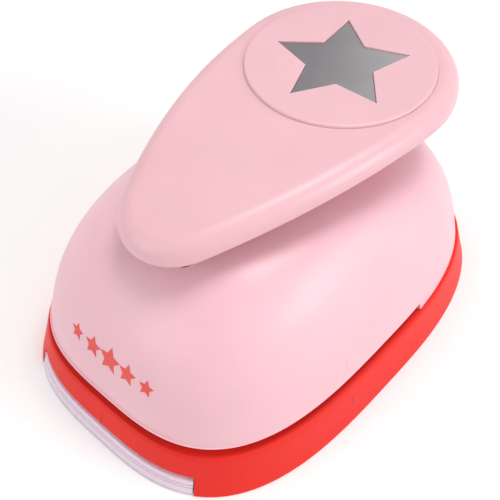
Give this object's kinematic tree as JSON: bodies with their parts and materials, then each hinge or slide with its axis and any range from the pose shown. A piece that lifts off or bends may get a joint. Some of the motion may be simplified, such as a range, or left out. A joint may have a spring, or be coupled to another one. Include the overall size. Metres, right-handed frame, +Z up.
{
  "type": "craft punch",
  "caption": "Lever craft punch with a star-shaped cutter, domed housing, teardrop press lever, open paper slot and hinged chip tray.",
  "frame": {"origin": "middle of the foot on the surface it stands on, under the middle of the bounding box", "axes": "+Z up, +Y along the length towards the wide end of the lever, -Y towards the mouth of the paper slot, +X across"},
  "size_m": [0.08, 0.1124, 0.0576],
  "materials": {
    "pink_plastic": "satin moulded plastic",
    "lever_plastic": "satin moulded plastic",
    "red_plastic": "satin moulded plastic",
    "tray_plastic": "translucent moulded plastic",
    "star_metal": "brushed",
    "steel": "ground and lightly brushed",
    "zinc_steel": "bright zinc plate",
    "white_plastic": "self-lubricating plastic"
  },
  "bodies": {
    "root": {"base_shell": "red_plastic", "tray_pins": "steel", "die_plate": "steel", "die_screws": "zinc_steel", "rear_spacer": "red_plastic", "guide_plate": "steel", "housing_shell": "pink_plastic", "housing_screws": "zinc_steel", "guide_screws": "zinc_steel", "spring_posts": "steel", "return_springs": "zinc_steel", "lever_bracket": "steel", "bracket_rivets": "zinc_steel", "lever_pin": "steel", "pin_clips": "zinc_steel"},
    "lever": {"lever_shell": "lever_plastic", "badge_disc": "lever_plastic", "star_inlay": "star_metal", "cam_roller": "white_plastic", "roller_pin": "steel"},
    "plunger": {"star_punch": "steel", "punch_holder": "steel", "holder_screws": "zinc_steel", "pressure_cap": "white_plastic"},
    "tray": {"chip_tray": "tray_plastic"}
  },
  "joints": [
    {"name": "lever_hinge", "type": "hinge", "parent": "root", "child": "lever", "pos_m": [0, -0.026, 0.044], "axis": [1, 0, 0], "range_deg": [-12.02, 0], "stiffness_Nm_per_rad": 0.05, "springref_deg": 20.05},
    {"name": "plunger_slide", "type": "slide", "parent": "root", "child": "plunger", "axis": [0, 0, 1], "range_m": [-0.0032, 0], "stiffness_N_per_m": 400, "springref_m": 0.006, "deforming": ["return_springs"]},
    {"name": "tray_hinge", "type": "hinge", "parent": "root", "child": "tray", "pos_m": [0, 0.043, 0.0026], "axis": [1, 0, 0], "range_deg": [0, 75]}
  ],
  "couplings": [
    {"joint": "lever_hinge", "follows": "plunger_slide", "rad_per_m": 65.445}
  ]
}
